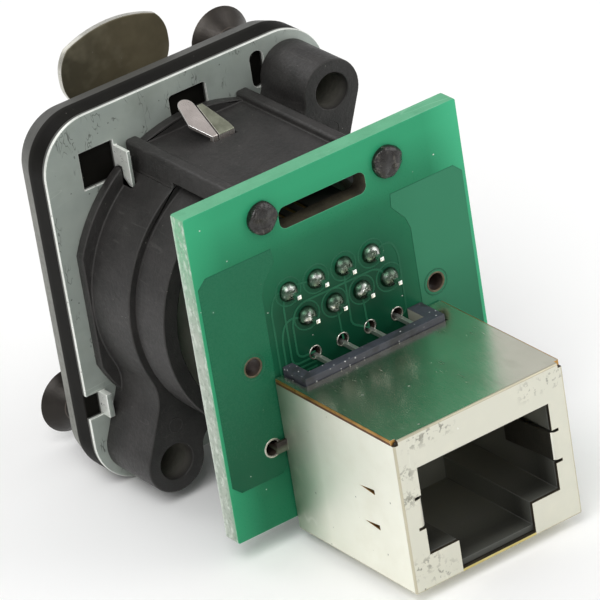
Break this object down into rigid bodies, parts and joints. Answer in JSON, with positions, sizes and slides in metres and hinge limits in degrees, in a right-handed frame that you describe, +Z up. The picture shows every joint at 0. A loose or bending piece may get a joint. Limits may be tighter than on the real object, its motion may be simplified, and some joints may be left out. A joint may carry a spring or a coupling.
{
  "type": "panel-mount ethernet feed-through connector",
  "caption": "Flanged panel receptacle with a round plug socket, sprung release tab, circuit board and a shielded rear jack, for passing a network cable through a panel.",
  "frame": {"origin": "centre of the round socket on the flange's front face, the face that seats on the panel", "axes": "+Y from the flange to the rear jack, +Z up towards the release tab, +X to the right seen from the front"},
  "size_m": [0.026, 0.0424, 0.0327],
  "materials": {
    "flange_black": "black satin coating",
    "plate_steel": "satin tinned sheet with dark scratches",
    "charcoal_plastic": "satin moulded nylon",
    "screw_steel": "blackened steel",
    "lever_steel": "dark bronzed sheet",
    "bright_steel": "bright spring steel",
    "green_board": "green solder mask over glass laminate",
    "black_plastic": "moulded black plastic",
    "solder": "bright solder",
    "nickel_shield": "nickel-plated brass sheet",
    "contact_gold": "gold-plated wire"
  },
  "bodies": {
    "base": {"front_flange": "flange_black", "ground_plate": "plate_steel", "rear_housing": "charcoal_plastic", "mounting_screws": "screw_steel", "latch_pin": "bright_steel", "latch_spring": "bright_steel", "circuit_board": "green_board", "front_jack_housing": "black_plastic", "front_jack_solder": "solder", "rear_jack_shield": "nickel_shield", "rear_jack_housing": "black_plastic", "rear_jack_solder": "solder", "shield_solder": "solder", "front_contact_1": "contact_gold", "front_contact_2": "contact_gold", "front_contact_3": "contact_gold", "front_contact_4": "contact_gold", "front_contact_5": "contact_gold", "front_contact_6": "contact_gold", "front_contact_7": "contact_gold", "front_contact_8": "contact_gold", "rear_contact_1": "contact_gold", "rear_contact_2": "contact_gold", "rear_contact_3": "contact_gold", "rear_contact_4": "contact_gold", "rear_contact_5": "contact_gold", "rear_contact_6": "contact_gold", "rear_contact_7": "contact_gold", "rear_contact_8": "contact_gold"},
    "lever": {"latch_lever": "lever_steel"}
  },
  "joints": [
    {"name": "latch_press", "type": "hinge", "parent": "base", "child": "lever", "pos_m": [0, 0.011, 0.0099], "axis": [-1, 0, 0], "range_deg": [0, 5], "stiffness_Nm_per_rad": 0.05, "springref_deg": -5.73}
  ]
}
